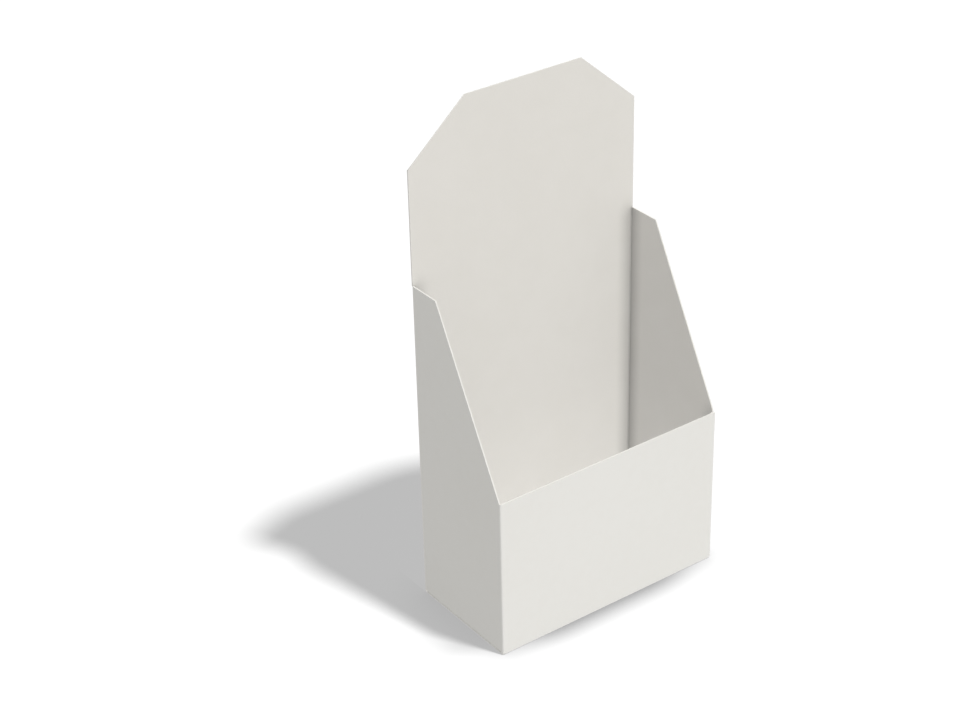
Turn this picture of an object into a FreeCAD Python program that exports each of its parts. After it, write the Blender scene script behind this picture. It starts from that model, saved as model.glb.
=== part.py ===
"""Cardboard display stand, folded from one die-cut sheet of white board.

The sheet is one piece. Its front, left, back and right panels wrap into an open box, and a flap on the
right side panel is glued behind the front panel. The bottom panel hangs from the front panel and is
glued under the two side flaps, with its rear flap glued up inside the back panel.

Millimetres. X runs to the right, Y to the back and Z up. The origin is at the middle of the footprint,
on the surface that the stand rests on.
"""

import FreeCAD, Part

import os

from FreeCAD import Vector

# Board and folds
board = 0.8
fold_inside_radius = 0.15
slit = 0.3

# Panels, crease to crease across and cut to length upwards
panel_width = 150.0
panel_depth = 74.6
front_height = 100.0
side_height = 200.0
back_height = 300.0
shoulder_length = 21.5
corner_cut_width = 37.0
corner_cut_height = 32.5

# Glue flap behind the front panel
glue_flap_width = 15.0
glue_flap_taper = 6.0

# Bottom panel, its rear flap and the two side flaps above it
bottom_side_clearance = 0.3
rear_flap_height = 15.0
rear_flap_inset = 4.0
rear_flap_taper = 5.0
side_flap_length = 52.0
side_flap_taper = 7.0

# Values worked out from the driving sizes
fold_radius = fold_inside_radius + board
half_width = (panel_width + board) / 2
half_depth = (panel_depth + board) / 2
left, right = -half_width, half_width
front, back = -half_depth, half_depth
side_fold_foot = board + fold_radius
side_flap_front = front + board + fold_radius + 2 * slit
side_flap_back = back - board - fold_radius - 2 * slit

X = Vector(1, 0, 0)
Y = Vector(0, 1, 0)
Z = Vector(0, 0, 1)


def flat(points, inward):
    """A flat panel: its outline lies on the outer face of the board, which is thickened inward."""
    corners = [Vector(*point) for point in points]
    outline = Part.makePolygon(corners + corners[:1])
    return Part.Face(outline).extrude(inward * board)


def fold(corner, along, into_first, into_second):
    """A quarter bend that joins two panels.

    The outer faces of the panels would meet at the line from corner that runs along. The other two
    directions point from that line into the first and the second panel.
    """
    start = Vector(*corner)
    centre = start + (into_first + into_second) * fold_radius
    towards_line = (into_first + into_second) * -1
    towards_line.normalize()

    def arc(radius, first, second):
        return Part.Arc(centre - first * radius, centre + towards_line * radius, centre - second * radius)

    def rung(direction):
        return Part.LineSegment(centre - direction * fold_radius, centre - direction * fold_inside_radius)

    outer = arc(fold_radius, into_first, into_second)
    inner = arc(fold_inside_radius, into_second, into_first)
    edges = [outer.toShape(), rung(into_second).toShape(), inner.toShape(), rung(into_first).toShape()]
    section = Part.Face(Part.Wire(Part.__sortEdges__(edges)))
    return section.extrude(along)


def front_panel():
    """Upright panel at the front, with the fold to the bottom panel left out of its height."""
    return flat(
        [
            (left + fold_radius, front, fold_radius),
            (right, front, fold_radius),
            (right, front, front_height),
            (left + fold_radius, front, front_height),
        ],
        Y,
    )


def back_panel():
    """Tall panel with two cut-off corners. Above the side panels its cut edges are flush with their faces."""
    lower_edge = half_width - fold_radius
    one_side = [
        (lower_edge, 0),
        (lower_edge, side_height),
        (half_width, side_height),
        (half_width, back_height - corner_cut_height),
        (half_width - corner_cut_width, back_height),
    ]
    other_side = [(-x, z) for x, z in reversed(one_side)]
    return flat([(x, back, z) for x, z in one_side + other_side], -Y)


def side_panel(outer_x, inward, front_end):
    """Upright side panel. Its foot steps up where the side flap folds in, with a slit at each end."""
    steps = [
        (front_end, fold_radius),
        (side_flap_front - slit, fold_radius),
        (side_flap_front - slit, side_fold_foot),
        (side_flap_back + slit, side_fold_foot),
        (side_flap_back + slit, fold_radius),
        (back - fold_radius, fold_radius),
        (back - fold_radius, side_height),
        (front_end, side_height),
    ]
    return flat([(outer_x, y, z) for y, z in steps], inward)


def side_flap(outer_x, inward):
    """Flap folded in from the foot of a side panel, narrowing towards its free end."""
    depth = side_flap_back - side_flap_front
    bend = fold((outer_x, side_flap_front, board), Y * depth, Z, inward)
    root = outer_x + inward.x * fold_radius
    tip = outer_x + inward.x * side_flap_length
    flap = flat(
        [
            (root, side_flap_front, board),
            (tip, side_flap_front + side_flap_taper, board),
            (tip, side_flap_back - side_flap_taper, board),
            (root, side_flap_back, board),
        ],
        Z,
    )
    return [bend, flap]


def glue_flap():
    """Flap at the front edge of the right side panel, glued behind the front panel."""
    root = right - fold_radius
    tip = right - glue_flap_width
    return flat(
        [
            (root, front + board, side_fold_foot),
            (tip, front + board, side_fold_foot + glue_flap_taper),
            (tip, front + board, front_height - glue_flap_taper),
            (root, front + board, front_height),
        ],
        Y,
    )


def bottom_panel():
    """Floor of the stand with its fold from the front panel and its rear flap against the back panel."""
    rear_face = back - board
    edge = half_width - bottom_side_clearance
    floor = flat(
        [
            (-edge, front + fold_radius, 0),
            (edge, front + fold_radius, 0),
            (edge, rear_face - fold_radius, 0),
            (-edge, rear_face - fold_radius, 0),
        ],
        Z,
    )
    fold_end = half_width - fold_radius - slit
    front_bend = fold((-fold_end, front, 0), X * (2 * fold_end), Z, Y)
    root = half_width - rear_flap_inset
    tip = root - rear_flap_taper
    rear_bend = fold((-root, rear_face, 0), X * (2 * root), -Y, Z)
    rear_flap = flat(
        [
            (-root, rear_face, fold_radius),
            (root, rear_face, fold_radius),
            (tip, rear_face, rear_flap_height),
            (-tip, rear_face, rear_flap_height),
        ],
        -Y,
    )
    return [floor, front_bend, rear_bend, rear_flap]


def above_side_outline():
    """Everything in front of the back panel that lies above the level and sloping tops of the sides."""
    beyond = board
    outline = [
        (front - beyond, front_height),
        (front + board, front_height),
        (back - shoulder_length, side_height),
        (back - shoulder_length, side_height + beyond),
        (front - beyond, side_height + beyond),
    ]
    corners = [Vector(left - beyond, y, z) for y, z in outline]
    width = 2 * (half_width + beyond)
    return Part.Face(Part.makePolygon(corners + corners[:1])).extrude(X * width)


def side_walls():
    """The two side panels with their upright folds, cut to the sloping outline."""
    upright = Z * (side_height - fold_radius)
    glued_upright = Z * (side_height - side_fold_foot)
    walls = [
        side_panel(left, X, front + fold_radius),
        side_panel(right, -X, front + board + fold_radius),
        fold((left, front, fold_radius), upright, Y, X),
        fold((left, back, fold_radius), upright, -Y, X),
        fold((right, back, fold_radius), upright, -Y, -X),
        fold((right, front + board, side_fold_foot), glued_upright, Y, -X),
    ]
    trim = above_side_outline()
    return [wall.cut(trim) for wall in walls]


def display_stand():
    """The whole folded and glued sheet as one solid."""
    pieces = [back_panel(), glue_flap()] + side_walls() + bottom_panel()
    pieces += side_flap(left, X) + side_flap(right, -X)
    return front_panel().multiFuse(pieces).removeSplitter()


def main():
    os.makedirs("parts", exist_ok=True)
    stand = display_stand()
    box = stand.BoundBox
    print("solids", len(stand.Solids), "valid", stand.isValid(), "faces", len(stand.Faces))
    print("size", round(box.XLength, 3), round(box.YLength, 3), round(box.ZLength, 3))
    print("volume", round(stand.Volume, 1), "board area", round(stand.Volume / board, 1))
    stand.Solids[0].exportStep("parts/display_stand.step")


main()
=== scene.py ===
# %% [markdown]
# # A display stand folded from one sheet of white board
#
# This lesson dresses a counter stand for leaflets. The real stand is a single die-cut sheet: it is creased,
# folded into an open box with a tall back, and glued. The frame already holds its true sizes, so the lesson
# measures the frame, folds a clean sheet to the same sizes, and then spends its care on the board itself.

# %% Load the frame
import math

import bmesh
import bpy
from mathutils import Euler, Matrix, Vector


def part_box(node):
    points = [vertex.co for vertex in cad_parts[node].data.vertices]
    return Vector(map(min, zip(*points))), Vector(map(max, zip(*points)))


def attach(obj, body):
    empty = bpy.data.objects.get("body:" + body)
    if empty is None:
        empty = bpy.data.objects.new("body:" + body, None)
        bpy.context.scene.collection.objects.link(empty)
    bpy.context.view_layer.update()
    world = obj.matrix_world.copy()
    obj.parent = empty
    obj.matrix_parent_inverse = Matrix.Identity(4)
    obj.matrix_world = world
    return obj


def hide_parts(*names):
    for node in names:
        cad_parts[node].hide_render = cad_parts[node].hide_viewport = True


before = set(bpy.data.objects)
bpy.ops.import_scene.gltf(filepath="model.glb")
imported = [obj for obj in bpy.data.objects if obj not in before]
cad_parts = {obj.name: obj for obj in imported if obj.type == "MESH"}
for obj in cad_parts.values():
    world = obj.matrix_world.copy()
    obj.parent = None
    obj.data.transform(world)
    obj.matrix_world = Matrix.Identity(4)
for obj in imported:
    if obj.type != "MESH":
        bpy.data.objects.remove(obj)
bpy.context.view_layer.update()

# %% [markdown]
# ## Measure the stand
#
# A maker of such a stand works from a few sizes: the board's thickness, the radius of a fold, and how far
# each panel and flap reaches. They could be typed in again, but then two sets of sizes could drift apart. So
# they are read off the frame's own corners, with one helper that looks along an axis for the furthest corner
# that passes a test.

# %% Measure the panels
TOUCH = 1e-5

low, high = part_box("display_stand")
left, front, top = low.x, low.y, high.z
right, back = high.x, high.y
corners = [vertex.co.copy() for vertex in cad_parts["display_stand"].data.vertices]


def near(a, b):
    return abs(a - b) < TOUCH


def reach(end, axis, test):
    """The lowest (min) or highest (max) place along an axis among the frame's corners that pass a test."""
    return end(getattr(corner, axis) for corner in corners if test(corner))


board = back - reach(min, "y", lambda p: near(p.z, top))
fold = right - reach(max, "x", lambda p: near(p.z, 0) and near(p.y, back))
front_height = reach(max, "z", lambda p: near(p.y, front))
side_height = reach(max, "z", lambda p: near(p.x, left) and p.y < back - 2 * board)
shoulder = reach(min, "y", lambda p: near(p.x, left) and near(p.z, side_height))
cut_x = reach(max, "x", lambda p: near(p.z, top))
cut_z = reach(max, "z", lambda p: near(p.x, right) and near(p.y, back))
print(f"board {board * 1000:.2f} mm, fold radius {fold * 1000:.2f} mm")
print(f"heights {front_height:.4f}, {side_height:.4f}, {top:.4f}; shoulder {shoulder:.4f}")
print(f"corner cut from ({cut_x:.4f}, {top:.4f}) to ({right:.4f}, {cut_z:.4f})")

# %% Measure the flaps
lap = front + board
rear = back - board
glue_tip = reach(min, "x", lambda p: near(p.y, lap + board))
glue_tip_low = reach(min, "z", lambda p: near(p.x, glue_tip))
glue_tip_high = reach(max, "z", lambda p: near(p.x, glue_tip))
floor_edge = reach(max, "x", lambda p: near(p.z, 0) and p.y < rear - board)
front_fold_end = reach(max, "x", lambda p: TOUCH < p.z < fold - TOUCH and p.y < front + fold - TOUCH)
rear_top = reach(max, "z", lambda p: near(p.y, rear - board))
rear_root = reach(max, "x", lambda p: near(p.y, rear - board))
rear_tip = reach(max, "x", lambda p: near(p.y, rear - board) and near(p.z, rear_top))
flap_tip = reach(min, "x", lambda p: near(p.z, 2 * board) and p.x > board)
flap_tip_back = reach(max, "y", lambda p: near(p.z, 2 * board) and near(p.x, flap_tip))
flap_back = reach(max, "y", lambda p: near(p.z, 2 * board) and near(p.x, right - fold))
slit = reach(min, "y", lambda p: near(p.x, right) and near(p.z, fold) and p.y > flap_back) - flap_back
foot = board + fold
print(f"glue flap to x {glue_tip:.4f}, rear flap to z {rear_top:.4f}, side flaps to x {flap_tip:.4f}")
print(f"side flaps' roots end at y {flap_back:.4f}, slits {slit * 1000:.2f} mm wide")

# %% [markdown]
# ## Start with the front panel
#
# The sheet is modelled as its outer face only, and gets its thickness at the end, as a real blank is drawn
# as a flat outline. It starts as one plane, the front panel. Its left end stops where the fold begins, and
# its right end is a cut edge, because there the panel laps over the glue flap.

# %% Make the front panel
ROUND_STEPS = 6

bpy.ops.object.select_all(action="DESELECT")
panel_middle = ((left + fold + right) / 2, front, (fold + front_height) / 2)
bpy.ops.mesh.primitive_plane_add(size=1, location=panel_middle, rotation=(math.pi / 2, 0, 0))
sheet = bpy.context.object
sheet.name = "folded_sheet"
sheet.scale = (right - left - fold, front_height - fold, 1)
bpy.ops.object.transform_apply(location=True, rotation=True, scale=True)
print("front panel", [round(size, 4) for size in sheet.dimensions])

# %% [markdown]
# ## Helpers for working along the sheet
#
# A few small moves make all the panels. One picks edges or faces by the place of their corners. One bends the
# picked edge round a fold with the spin operator, which leaves the far edge picked, and one pulls that edge
# out straight into the next panel. The others shape the panels as a die does: they cut along a plane, drop
# the waste, and shorten the end of a flap.

# %% Write the helpers
def choose(kind, test):
    """Pick the edges or faces whose every corner passes the test."""
    bpy.ops.mesh.select_mode(type=kind)
    bpy.ops.mesh.select_all(action="DESELECT")
    shape = bmesh.from_edit_mesh(sheet.data)
    elements = shape.edges if kind == "EDGE" else shape.faces
    picked = [element for element in elements if all(test(corner.co) for corner in element.verts)]
    for element in picked:
        element.select_set(True)
    bmesh.update_edit_mesh(sheet.data)
    return len(picked)


def bend(centre, axis, quarter=1):
    """Bend the picked edge a quarter turn about an axis through the centre.

    A quarter of 1 turns anticlockwise seen from the axis's tip, which is the spin operator's minus.
    """
    bpy.ops.mesh.spin(steps=ROUND_STEPS, angle=-quarter * math.pi / 2, center=centre, axis=axis)


def pull(x=0.0, y=0.0, z=0.0):
    """Pull the picked edge out into a flat panel."""
    bpy.ops.mesh.extrude_region_move(TRANSFORM_OT_translate={"value": (x, y, z)})


def cut(point, normal):
    """Cut the picked faces along a plane."""
    bpy.ops.mesh.bisect(plane_co=point, plane_no=normal, threshold=TOUCH / 10)


def drop(test):
    """Delete the faces whose every corner passes the test."""
    choose("FACE", test)
    bpy.ops.mesh.delete(type="FACE")


def trim(point, normal, test):
    """Cut the faces that pass the test along a plane, and drop what lies on the normal's side."""
    choose("FACE", test)
    cut(point, normal)
    drop(lambda p: test(p) and (p - Vector(point)).dot(Vector(normal).normalized()) > -TOUCH)


def narrow(x=1.0, y=1.0, z=1.0, about=(0, 0, 0)):
    """Shorten the picked edge about a point."""
    bpy.ops.transform.resize(value=(x, y, z), center_override=about)


# %% [markdown]
# ## Wrap the walls
#
# The wall runs on from the front panel: round the left fold, along the left side, and so on round the back
# and the right side to the glue flap, which tucks in one board's thickness behind the front panel. Folding
# a flat blank by turning its panels would work too, but bending and pulling gives each fold its true radius
# as it goes.

# %% Wrap the walls
UP = (0, 0, 1)
ALONG_X = (1, 0, 0)
ALONG_Y = (0, 1, 0)

bpy.ops.object.mode_set(mode="EDIT")
choose("EDGE", lambda p: near(p.x, left + fold))
bend((left + fold, front + fold, 0), UP, -1)
pull(y=back - front - 2 * fold)
bend((left + fold, back - fold, 0), UP, -1)
pull(x=right - left - 2 * fold)
bend((right - fold, back - fold, 0), UP, -1)
pull(y=(lap + fold) - (back - fold))
bend((right - fold, lap + fold, 0), UP, -1)
pull(x=glue_tip - (right - fold))
print("wall faces", len(bmesh.from_edit_mesh(sheet.data).faces))

# %% [markdown]
# ## Raise the sides and the back
#
# The walls are all as low as the front panel so far. The sides and the back, with all their folds, are pulled
# up to the height of the shoulders, and then the sides are cut along the slope, as the die cuts them. The
# back panel goes on up alone. Above the shoulders it has no folds beside it, so its edges are pulled out to
# the full width, and its two corners are cut off.

# %% Raise and cut the sides
def beside_or_behind(p):
    """True for the sides, the back and their folds, but not for the front panel or the glue flap."""
    return p.y > front - TOUCH and (p.x < left + fold + TOUCH or p.y > lap + TOUCH)


rise = side_height - front_height
run = shoulder - lap
choose("EDGE", lambda p: near(p.z, front_height) and beside_or_behind(p))
pull(z=rise)
trim((0, shoulder, side_height), (0, -rise, run), lambda p: p.z > front_height - TOUCH)
print("height at the shoulders", round(max(v.co.z for v in bmesh.from_edit_mesh(sheet.data).verts), 4))

# %% Raise the back and cut its corners
choose("EDGE", lambda p: near(p.z, side_height) and near(p.y, back))
pull(z=top - side_height)
for end, outward in ((left, -fold), (right, fold)):
    choose("EDGE", lambda p: near(p.x, end - outward) and p.z > side_height - TOUCH)
    pull(x=outward)
for side in (-1, 1):
    slant = (side * (top - cut_z), 0, right - cut_x)
    trim((side * cut_x, back, top), slant, lambda p: p.z > side_height - TOUCH and near(p.y, back))
print("height of the back", round(max(v.co.z for v in bmesh.from_edit_mesh(sheet.data).verts), 4))

# %% [markdown]
# ## Finish the glue flap
#
# The flap behind the front panel starts a little above the bottom, where the layers below it need room, and
# its ends taper so that they can't show or catch.

# %% Trim and taper the glue flap
def on_glue_flap(p):
    return p.x > glue_tip - TOUCH and lap - TOUCH < p.y < lap + fold + TOUCH and p.z < front_height + TOUCH


trim((0, 0, foot), (0, 0, -1), on_glue_flap)
flap_middle = (glue_tip, lap, (foot + front_height) / 2)
choose("EDGE", lambda p: near(p.x, glue_tip))
narrow(z=(glue_tip_high - glue_tip_low) / (front_height - foot), about=flap_middle)
print("glue flap tip", round(glue_tip_low, 4), "to", round(glue_tip_high, 4))

# %% [markdown]
# ## Close the bottom
#
# The bottom hangs from the front panel. It is a shade narrower than the box, and its fold stops short of the
# corners, so that nothing jams when it is folded under. At the rear it turns up into a narrower flap that is
# glued inside the back panel.

# %% Fold the bottom panel
choose("FACE", lambda p: near(p.y, front))
cut((-front_fold_end, 0, 0), ALONG_X)
choose("FACE", lambda p: near(p.y, front))
cut((front_fold_end, 0, 0), ALONG_X)
choose("EDGE", lambda p: near(p.z, fold) and near(p.y, front) and abs(p.x) < front_fold_end + TOUCH)
bend((0, front + fold, fold), ALONG_X)
pull(y=(rear - fold) - (front + fold))
for side in (-1, 1):
    choose("EDGE", lambda p: near(p.z, 0) and near(p.x, side * front_fold_end))
    pull(x=side * (floor_edge - front_fold_end))
for side in (-1, 1):
    choose("FACE", lambda p: near(p.z, 0))
    cut((side * rear_root, 0, 0), ALONG_X)
print("bottom faces", choose("FACE", lambda p: near(p.z, 0)))

# %% Fold up the rear flap
choose("EDGE", lambda p: near(p.z, 0) and near(p.y, rear - fold) and abs(p.x) < rear_root + TOUCH)
bend((0, rear - fold, fold), ALONG_X)
pull(z=rear_top - fold)
narrow(x=rear_tip / rear_root, about=(0, rear, rear_top))
print("rear flap reaches", round(rear_top, 4))

# %% [markdown]
# ## Fold in the side flaps
#
# Each side panel has a flap that lies on top of the bottom panel. The side's foot is cut away over the flap's
# width and a narrow slit at each end, and the flap is folded in one board's thickness above the ground.

# %% Cut the feet of the sides
def on_side_foot(p):
    return near(abs(p.x), right) and p.z < foot + TOUCH


flap_front = lap + fold + 2 * slit
choose("FACE", lambda p: near(abs(p.x), right) and p.z < front_height + TOUCH)
cut((0, 0, foot), UP)
for y in (flap_front - slit, flap_front, flap_back, flap_back + slit):
    choose("FACE", on_side_foot)
    cut((0, y, 0), ALONG_Y)
drop(lambda p: on_side_foot(p) and flap_front - slit - TOUCH < p.y < flap_back + slit + TOUCH)
print("feet left", choose("FACE", on_side_foot))

# %% Fold the side flaps
def on_flap_root(p, side):
    """True at the foot of one side, between its two slits."""
    return near(p.x, side * right) and near(p.z, foot) and flap_front - TOUCH < p.y < flap_back + TOUCH


flap_middle_y = (flap_front + flap_back) / 2
flap_narrowing = (flap_tip_back - flap_middle_y) / (flap_back - flap_middle_y)
for side in (-1, 1):
    choose("EDGE", lambda p: on_flap_root(p, side))
    bend((side * (right - fold), 0, foot), ALONG_Y, side)
    pull(x=side * (flap_tip - (right - fold)))
    narrow(y=flap_narrowing, about=(0, flap_middle_y, board))
bpy.ops.mesh.select_all(action="SELECT")
bpy.ops.mesh.remove_doubles(threshold=TOUCH / 10)
bpy.ops.mesh.normals_make_consistent(inside=False)
bpy.ops.object.mode_set(mode="OBJECT")
outward_area = sum(face.area * face.normal.z for face in sheet.data.polygons if near(face.center.z, 0))
print("outer skin faces", len(sheet.data.polygons), "bottom faces down", outward_area < 0)

# %% [markdown]
# ## From a skin to a board
#
# The skin so far is the outer face of the board, so its thickness grows inwards from there. The new inner
# face and the cut edges get finishes of their own. No knife leaves a perfectly sharp corner, so the cut edges
# are rounded by less than a hair, which lets them catch the light. Then the folds are shaded round, while the
# panels keep their flat shading.

# %% Give the sheet its thickness
CUT_EDGE_ROUND = 0.00005
SHARP_ABOVE = math.radians(50)
OUTSIDE, INSIDE, CUT = 0, 1, 2

for finish in (OUTSIDE, INSIDE, CUT):
    sheet.data.materials.append(None)
thickness = sheet.modifiers.new("board", "SOLIDIFY")
thickness.thickness = board
thickness.offset = -1
thickness.use_even_offset = True
thickness.material_offset = INSIDE
thickness.material_offset_rim = CUT
bpy.ops.object.modifier_apply(modifier=thickness.name)
softening = sheet.modifiers.new("cut edges", "BEVEL")
softening.width = CUT_EDGE_ROUND
softening.segments = 2
softening.limit_method = "ANGLE"
softening.angle_limit = SHARP_ABOVE
softening.use_clamp_overlap = False
bpy.ops.object.modifier_apply(modifier=softening.name)
print("closed sheet:", len(sheet.data.vertices), "corners")

# %% Shade the folds round and the panels flat
bpy.ops.object.shade_smooth_by_angle(angle=SHARP_ABOVE)
flatten = sheet.modifiers.new("flat panels", "WEIGHTED_NORMAL")
flatten.keep_sharp = True
bpy.ops.object.modifier_apply(modifier=flatten.name)
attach(sheet, "root")
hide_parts("display_stand")
print("sheet size", [round(size, 4) for size in sheet.dimensions])

# %% [markdown]
# ## Helpers for the materials
#
# Board has no single colour. It is a felt of fibres under a thin coat, so its tone drifts in soft clouds, its
# surface is faintly rough, and it is scuffed along the folds. Each of these is a number that changes over the
# surface, worked out from the place of the point on the object. Two small helpers keep the node wiring short.

# %% Write the node helpers
def add_node(tree, kind, inputs=None, **settings):
    """Add a node, set its options, and then set or link its inputs by name or number."""
    node = tree.nodes.new(kind)
    for name, value in settings.items():
        setattr(node, name, value)
    for name, value in (inputs or {}).items():
        if isinstance(value, bpy.types.NodeSocket):
            tree.links.new(value, node.inputs[name])
        else:
            node.inputs[name].default_value = value
    return node


def spread(tree, value, low, high, to_low=0.0, to_high=1.0, ends="SMOOTHSTEP"):
    """Stretch the part of a value between low and high over a new range, with soft ends or evenly."""
    node = add_node(
        tree,
        "ShaderNodeMapRange",
        {"Value": value, "From Min": low, "From Max": high, "To Min": to_low, "To Max": to_high},
        interpolation_type=ends,
    )
    return node.outputs["Result"]


def work_out(tree, operation, first, second=0.0):
    """One sum on two values."""
    return add_node(tree, "ShaderNodeMath", {0: first, 1: second}, operation=operation).outputs[0]


def noise(tree, position, scale, detail):
    """Soft random clouds, so many to the metre."""
    return add_node(
        tree, "ShaderNodeTexNoise", {"Vector": position, "Scale": scale, "Detail": detail}
    ).outputs["Fac"]


def blend_colours(tree, mask, first, second):
    """The first colour where the mask is 0 and the second where it is 1."""
    return add_node(
        tree, "ShaderNodeMix", {0: mask, 6: first, 7: second}, data_type="RGBA"
    ).outputs[2]


def new_group(name, inputs, output):
    """Start a shader node group with named inputs and one output, and give its two end nodes."""
    tree = bpy.data.node_groups.new(name, "ShaderNodeTree")
    for socket, kind in inputs.items():
        tree.interface.new_socket(socket, in_out="INPUT", socket_type=kind)
    tree.interface.new_socket(output, in_out="OUTPUT", socket_type="NodeSocketFloat")
    return tree, tree.nodes.new("NodeGroupInput").outputs, tree.nodes.new("NodeGroupOutput").inputs


def new_material(name):
    """Start a material, and give it with its node tree, its Principled shader and the place of the point."""
    material = bpy.data.materials.new(name)
    material.use_nodes = True
    tree = material.node_tree
    position = add_node(tree, "ShaderNodeTexCoord").outputs["Object"]
    return material, tree, tree.nodes["Principled BSDF"].inputs, position


# %% [markdown]
# ## Fibres
#
# All the finishes of the sheet, its two faces and its cut edge, are made of the same fibres. They are long
# thin streaks that cross at random, so the group lays three stretched noises over each other, each turned
# another way, and keeps the highest. An image of paper would need a map of the surface, and this needs only
# the place in space.

# %% Build the fibre group
FIBRE_TURNS = ((0.3, 0.4, 0.2), (1.2, 0.1, 0.9), (0.2, 1.1, 2.1))
FIBRE_STRETCH = 6

fibre_group, given, result = new_group(
    "paper_fibre", {"Position": "NodeSocketVector", "Fibres per Metre": "NodeSocketFloat"}, "Height"
)
layers = []
for turn in FIBRE_TURNS:
    turned = add_node(
        fibre_group,
        "ShaderNodeMapping",
        {"Vector": given["Position"], "Rotation": turn, "Scale": (1 / FIBRE_STRETCH, 1, 1)},
    )
    layers.append(noise(fibre_group, turned.outputs[0], given["Fibres per Metre"], 3.0))
highest = work_out(fibre_group, "MAXIMUM", work_out(fibre_group, "MAXIMUM", layers[0], layers[1]), layers[2])
fibre_group.links.new(spread(fibre_group, highest, 0.45, 0.75), result["Height"])
print("fibre group nodes", len(fibre_group.nodes))

# %% [markdown]
# ## Wear along the folds
#
# A crease stretches the coat until it crazes, so a fold is a little rougher and paler than the panels. The
# mask is high where a point is close to both of the walls that meet at an upright fold, or to a wall and the
# ground, and a noise breaks it up, because no fold is scuffed evenly.

# %% Build the fold wear group
WEAR_REACH = 0.0014
SCUFFS_PER_METRE = 1400

wear_group, given, result = new_group("fold_wear", {"Position": "NodeSocketVector"}, "Wear")
place = add_node(wear_group, "ShaderNodeSeparateXYZ", {"Vector": given["Position"]}).outputs
by_the_sides, by_front_or_back = (
    spread(wear_group, work_out(wear_group, "ABSOLUTE", place[axis]), edge - WEAR_REACH, edge - board / 2)
    for axis, edge in (("X", right), ("Y", back))
)
by_a_wall = work_out(wear_group, "MAXIMUM", by_the_sides, by_front_or_back)
by_the_ground = spread(wear_group, place["Z"], foot, board)
upright_folds = work_out(wear_group, "MULTIPLY", by_the_sides, by_front_or_back)
foot_folds = work_out(wear_group, "MULTIPLY", by_a_wall, by_the_ground)
all_folds = work_out(wear_group, "MAXIMUM", upright_folds, foot_folds)
scuffs = spread(wear_group, noise(wear_group, given["Position"], SCUFFS_PER_METRE, 3.0), 0.35, 0.65, 0.3)
wear_group.links.new(work_out(wear_group, "MULTIPLY", all_folds, scuffs), result["Wear"])
print("fold wear reaches", WEAR_REACH * 1000, "mm")

# %% [markdown]
# ## Painted shade in the corners
#
# Where two panels meet, little light gets in, and this shade is painted into the board's colour. The ambient
# occlusion node measures how much of a point's surroundings is closed in by the sheet itself. It is asked
# twice: once over a centimetre for the soft painted shade, and once over little more than a millimetre for
# the painted dark line right in the crease.

# %% Write the corner shade helpers
SHADE_REACH, SHADE_DEEPEST = 0.0105, 0.2
CREASE_REACH, CREASE_DEEPEST = 0.0014, 0.4
# The near black towards which the painted shade darkens the corners and creases.
PAINTED_CORNER_SHADE = (0.02, 0.02, 0.018, 1)


def openness(tree, reach):
    """1 in the open, and about one half where the sheet closes in half of what lies within reach."""
    node = add_node(
        tree, "ShaderNodeAmbientOcclusion", {"Distance": reach}, samples=4, only_local=True
    )
    return node.outputs["AO"]


def shaded(tree, colour):
    """The colour in the open, with shade painted in towards the corners and creases."""
    soft = spread(tree, openness(tree, SHADE_REACH), 0.0, 1.0, SHADE_DEEPEST, 1.0, ends="LINEAR")
    line = spread(tree, openness(tree, CREASE_REACH), 0.0, 1.0, CREASE_DEEPEST, 1.0, ends="LINEAR")
    return blend_colours(tree, work_out(tree, "MULTIPLY", soft, line), PAINTED_CORNER_SHADE, colour)


# %% [markdown]
# ## The two faces of the board
#
# Such board is coated on one side. The outside is a smooth, nearly neutral white. The inside is the bare
# pulp, a little darker and creamier. The tone of both drifts over two sizes: clouds about a centimetre wide,
# where the fibres settled unevenly, and a slow change over a whole panel. The drift is faint, or the board
# would look dirty. The fibres give the fine bump, and the folds are paler and rougher.
#
# Cream bounces off cream deep in the pocket, which would turn it brown, and the photograph's white balance
# hides that. So rays that gather bounced light meet a plain grey of about the same lightness.

# %% Write the maker of a face
DRIFTS_PER_METRE = 14
FACE_ROUGHNESS = (0.78, 0.88)
FACE_RELIEF = 0.5
BOUNCE_GREY = (0.73, 0.73, 0.73, 1)


def make_face(name, light, deep, worn, clouds_per_metre, fibres_per_metre, fibre_height):
    """Make the finish of one face of the board."""
    material, tree, shader, position = new_material(name)
    clouds = noise(tree, position, clouds_per_metre, 3.0)
    drifts = noise(tree, position, DRIFTS_PER_METRE, 1.0)
    tone = work_out(tree, "MULTIPLY", work_out(tree, "ADD", clouds, drifts), 0.5)
    fibre = add_node(
        tree,
        "ShaderNodeGroup",
        node_tree=fibre_group,
        inputs={"Position": position, "Fibres per Metre": fibres_per_metre},
    ).outputs["Height"]
    wear = add_node(
        tree, "ShaderNodeGroup", node_tree=wear_group, inputs={"Position": position}
    ).outputs["Wear"]
    plain = blend_colours(tree, spread(tree, tone, 0.35, 0.65), light, deep)
    # Painted shade: the colour darkens towards the corners and creases of the sheet.
    worn_with_painted_shade = shaded(tree, blend_colours(tree, wear, plain, worn))
    bounced = add_node(tree, "ShaderNodeLightPath").outputs["Is Diffuse Ray"]
    tree.links.new(blend_colours(tree, bounced, worn_with_painted_shade, BOUNCE_GREY), shader["Base Color"])
    rough = work_out(tree, "MAXIMUM", spread(tree, fibre, 0.0, 1.0, *FACE_ROUGHNESS), wear)
    tree.links.new(rough, shader["Roughness"])
    height = work_out(tree, "ADD", fibre, wear)
    relief = add_node(
        tree, "ShaderNodeBump", {"Height": height, "Strength": FACE_RELIEF, "Distance": fibre_height}
    )
    tree.links.new(relief.outputs["Normal"], shader["Normal"])
    return material


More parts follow.
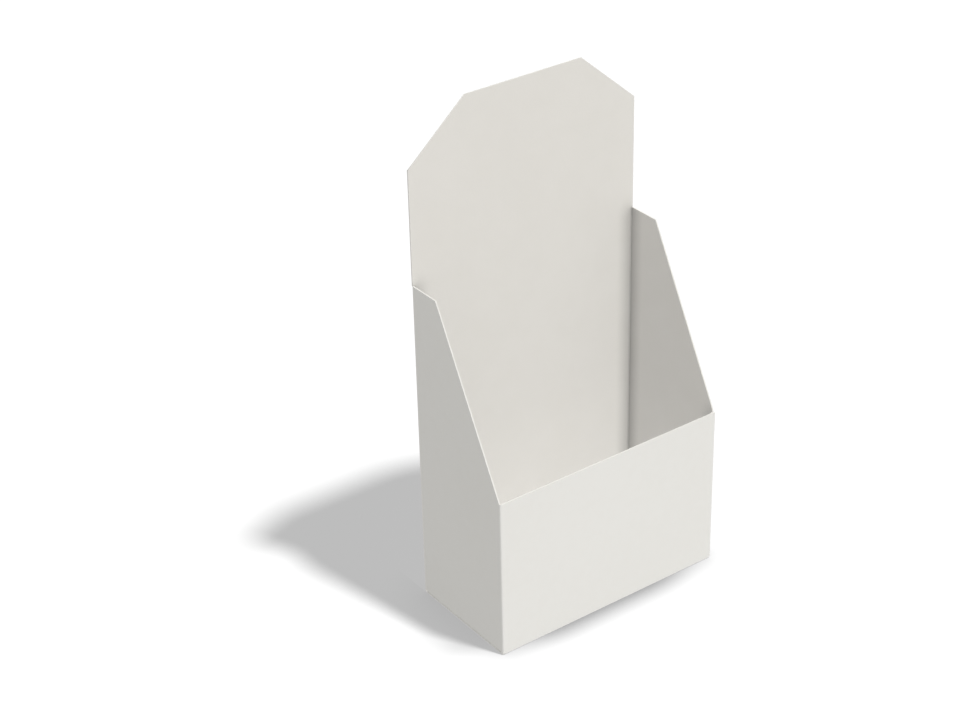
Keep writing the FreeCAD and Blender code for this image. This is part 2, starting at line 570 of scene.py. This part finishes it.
# %% Make the coated outside and the bare inside
coated_outside = make_face(
    "coated_outside",
    light=(0.843, 0.831, 0.790, 1),
    deep=(0.833, 0.820, 0.777, 1),
    worn=(0.860, 0.850, 0.820, 1),
    clouds_per_metre=180,
    fibres_per_metre=2600,
    fibre_height=0.00002,
)
bare_inside = make_face(
    "bare_inside",
    light=(0.787, 0.763, 0.714, 1),
    deep=(0.775, 0.751, 0.700, 1),
    worn=(0.790, 0.772, 0.735, 1),
    clouds_per_metre=70,
    fibres_per_metre=2200,
    fibre_height=0.00003,
)
sheet.data.materials[OUTSIDE] = coated_outside
sheet.data.materials[INSIDE] = bare_inside
print("finishes", coated_outside.name, bare_inside.name)

# %% [markdown]
# ## The cut edges
#
# The die leaves the core of the board bare. The core is pressed in plies along the sheet, so a cut edge
# shows fine lines that follow it, between the two smooth faces. How deep a point lies in the board is the
# distance to the nearest outer face, and above the sides only the back panel's face counts. A noise that is
# squeezed along that depth draws the plies.

# %% Make the cut edge
EDGE_LIGHT = (0.865, 0.852, 0.812, 1)
EDGE_DEEP = (0.785, 0.765, 0.710, 1)
PLIES_PER_METRE = 7000
PLY_STRETCH = 50
EDGE_FIBRES_PER_METRE = 5200
EDGE_HEIGHT = 0.00004
EDGE_ROUGHNESS = (0.86, 0.98)
EDGE_RELIEF = 0.6

cut_edge, tree, shader, position = new_material("board_cut_edge")
place = add_node(tree, "ShaderNodeSeparateXYZ", {"Vector": position}).outputs
from_side = work_out(tree, "SUBTRACT", right, work_out(tree, "ABSOLUTE", place["X"]))
from_back = work_out(tree, "SUBTRACT", back, work_out(tree, "ABSOLUTE", place["Y"]))
above_sides = work_out(tree, "GREATER_THAN", place["Z"], side_height + board)
depth = work_out(tree, "MINIMUM", work_out(tree, "ADD", from_side, above_sides), from_back)
along = add_node(
    tree, "ShaderNodeVectorMath", {0: position, "Scale": 1 / PLY_STRETCH}, operation="SCALE"
)
ply_place = add_node(tree, "ShaderNodeVectorMath", {0: along.outputs[0]}, operation="ADD")
tree.links.new(add_node(tree, "ShaderNodeCombineXYZ", {"X": depth}).outputs[0], ply_place.inputs[1])
plies = noise(tree, ply_place.outputs[0], PLIES_PER_METRE, 2.0)
fibre = add_node(
    tree,
    "ShaderNodeGroup",
    node_tree=fibre_group,
    inputs={"Position": position, "Fibres per Metre": EDGE_FIBRES_PER_METRE},
).outputs["Height"]
mixed = work_out(tree, "MULTIPLY", work_out(tree, "ADD", plies, fibre), 0.5)
edge_colour = blend_colours(tree, spread(tree, mixed, 0.2, 0.8), EDGE_LIGHT, EDGE_DEEP)
tree.links.new(edge_colour, shader["Base Color"])
tree.links.new(spread(tree, mixed, 0.0, 1.0, *EDGE_ROUGHNESS), shader["Roughness"])
relief = add_node(tree, "ShaderNodeBump", {"Height": mixed, "Strength": EDGE_RELIEF, "Distance": EDGE_HEIGHT})
tree.links.new(relief.outputs["Normal"], shader["Normal"])
sheet.data.materials[CUT] = cut_edge
print("cut edge faces", sum(face.material_index == CUT for face in sheet.data.polygons))

# %% [markdown]
# ## The floor
#
# The stand is photographed on a floor that fades into a white background. A floor that is bright enough to
# look white would throw too much light up at the board, so it is two things at once. The camera sees a floor
# that glows a mid grey, as in the shade, and that a strong sun lights up to white. All other rays meet an
# even glow, like the walls of a light tent. Close round the foot a painted shade darkens the floor's grey, so
# that less of the sunlight comes back, which sets the stand firmly down. This painted contact shade is
# deepest before the middle of the front panel and along the left side, where it is also widest, because there
# it softens the narrow start of the long shadow.

# %% Lay the floor
SUN_HEIGHT = math.radians(65.8)
SUN_TURN = math.radians(26.7)
FLOOR_GREY = (0.1, 0.1, 0.1, 1)
BLACK = (0, 0, 0, 1)
GLOW_SEEN = 0.457
GLOW_UNSEEN = 0.67
# How deep and how wide the painted contact shade is: at the corners, before the front and along the left.
CORNER_SHADE, CORNER_REACH = 0.35, 0.012
FRONT_FADED_OUT, FRONT_FULL_WITHIN, FRONT_REACH = 0.085, 0.020, 0.016
LEFT_STARTS_BEFORE, LEFT_FULL_AFTER, LEFT_REACH = 0.005, 0.030, 0.032
FLOOR_SIZE = 12


def seen_directly(tree):
    """1 where the camera looks straight or by way of a mirror or glass, and 0 for light that bounces."""
    rays = add_node(tree, "ShaderNodeLightPath").outputs
    mirrored = work_out(tree, "MAXIMUM", rays["Is Glossy Ray"], rays["Is Transmission Ray"])
    return work_out(tree, "MAXIMUM", rays["Is Camera Ray"], mirrored)


bpy.ops.object.select_all(action="DESELECT")
bpy.ops.mesh.primitive_plane_add(size=FLOOR_SIZE, location=(0, 0, 0))
floor = bpy.context.object
floor.name = "studio_floor"
floor_finish, tree, shader, position = new_material("studio_floor")
seen = seen_directly(tree)
place = add_node(tree, "ShaderNodeSeparateXYZ", {"Vector": position}).outputs
from_middle = work_out(tree, "ABSOLUTE", place["X"])
before_front = spread(tree, from_middle, FRONT_FADED_OUT, FRONT_FULL_WITHIN)
on_the_left = work_out(tree, "LESS_THAN", place["X"], left)
beside = spread(tree, place["Y"], front - LEFT_STARTS_BEFORE, front + LEFT_FULL_AFTER)
along_left = work_out(tree, "MULTIPLY", on_the_left, beside)
in_the_middle = work_out(tree, "MAXIMUM", before_front, along_left)
front_reach = spread(tree, before_front, 0.0, 1.0, CORNER_REACH, FRONT_REACH)
left_reach = spread(tree, along_left, 0.0, 1.0, CORNER_REACH, LEFT_REACH)
shade_reach = work_out(tree, "MAXIMUM", front_reach, left_reach)
# Painted contact shade: the floor's grey is darkened near the foot, by how much the stand closes it in.
closeness = add_node(tree, "ShaderNodeAmbientOcclusion", {"Distance": shade_reach}, samples=8)
closed = spread(tree, closeness.outputs["AO"], 1.0, 0.5, ends="LINEAR")
painted_contact_shade = work_out(tree, "MULTIPLY", closed, spread(tree, in_the_middle, 0.0, 1.0, CORNER_SHADE, 1.0))
grey_after_painted_shade = work_out(tree, "MULTIPLY", seen, work_out(tree, "SUBTRACT", 1.0, painted_contact_shade))
tree.links.new(blend_colours(tree, grey_after_painted_shade, BLACK, FLOOR_GREY), shader["Base Color"])
tree.links.new(spread(tree, seen, 0.0, 1.0, GLOW_UNSEEN, GLOW_SEEN), shader["Emission Strength"])
shader["Emission Color"].default_value = (1, 1, 1, 1)
shader["Roughness"].default_value = 1.0
shader["Specular IOR Level"].default_value = 0.0
floor.data.materials.append(floor_finish)
print("floor", FLOOR_SIZE, "m square")

# %% [markdown]
# ## Light
#
# One sun, high in front and a little to the right, gives the shadow that falls back and to the left, and an
# even sky fills in the rest. The photograph has a shadow on the floor but none inside the stand, as under a
# studio's light tent. So the sun that casts the shadow shines on the floor alone, and it is strong because
# the floor that it turns white is a dark grey. A second sun from the same side lights the board without
# shadows. Two low lamps, one in front and one behind, stand in for the bright walls of the tent.

# %% Light the stand
SUN_WIDTH = math.radians(5.2)
FLOOR_SUN_STRENGTH = 18.6
BOARD_SUN_STRENGTH = 1.40
TENT_WALL_HEIGHT = math.radians(12)
FRONT_WALL_STRENGTH = 0.57
BACK_WALL_STRENGTH = 1.03


def add_sun(name, height, turn, strength, lit):
    """Add a sun that shines on one object only, from a height above the floor and a turn from the front."""
    bpy.ops.object.light_add(type="SUN", rotation=(math.pi / 2 - height, 0, turn))
    lamp = bpy.context.object
    lamp.name = name
    lamp.data.energy = strength
    lamp.light_linking.receiver_collection = bpy.data.collections.new(name + "_shines_on")
    lamp.light_linking.receiver_collection.objects.link(lit)
    return lamp


floor_sun = add_sun("sun_on_floor", SUN_HEIGHT, SUN_TURN, FLOOR_SUN_STRENGTH, floor)
floor_sun.data.angle = SUN_WIDTH
board_sun = add_sun("sun_on_board", SUN_HEIGHT, SUN_TURN, BOARD_SUN_STRENGTH, sheet)
front_wall = add_sun("tent_wall_front", TENT_WALL_HEIGHT, 0, FRONT_WALL_STRENGTH, sheet)
back_wall = add_sun("tent_wall_back", TENT_WALL_HEIGHT, math.pi, BACK_WALL_STRENGTH, sheet)
for lamp in (board_sun, front_wall, back_wall):
    lamp.data.use_shadow = False

# %% Set the sky
SKY_STRENGTH = 0.492
SKY_SEEN = 1.0

world = bpy.data.worlds.new("sky")
world.use_nodes = True
bpy.context.scene.world = world
tree = world.node_tree
tree.nodes.clear()
strength = spread(tree, seen_directly(tree), 0.0, 1.0, SKY_STRENGTH, SKY_SEEN)
sky = add_node(tree, "ShaderNodeBackground", {"Color": (1, 1, 1, 1), "Strength": strength})
end = add_node(tree, "ShaderNodeOutputWorld")
tree.links.new(sky.outputs[0], end.inputs["Surface"])
print("sky", SKY_STRENGTH)

# %% [markdown]
# ## The camera
#
# The camera stands to the left and in front, and looks down at the stand. Its place was worked out from the
# stand's own straight edges in the photograph: the edges of a box of known proportions fix where the camera
# was, which way it looked and how long its lens was.

# %% Set up the camera
CAMERA_PLACE = Vector((-0.64189, -0.81943, 0.75870))
LOOK_TURN = math.radians(-35.420)
LOOK_DOWN = math.radians(30.519)
CAMERA_ROLL = math.radians(-1.473)
LENS = 82.758

level = Euler((math.pi / 2 - LOOK_DOWN, 0, LOOK_TURN)).to_matrix()
aim = level @ Matrix.Rotation(CAMERA_ROLL, 3, "Z")
bpy.ops.object.camera_add(location=CAMERA_PLACE, rotation=aim.to_euler())
camera = bpy.context.object
camera.name = "camera"
camera.data.lens = LENS
camera.data.clip_start = 0.01
bpy.context.scene.camera = camera
bpy.context.scene.view_settings.view_transform = "Standard"
print("camera", round(CAMERA_PLACE.length, 3), "m from the middle of the foot")
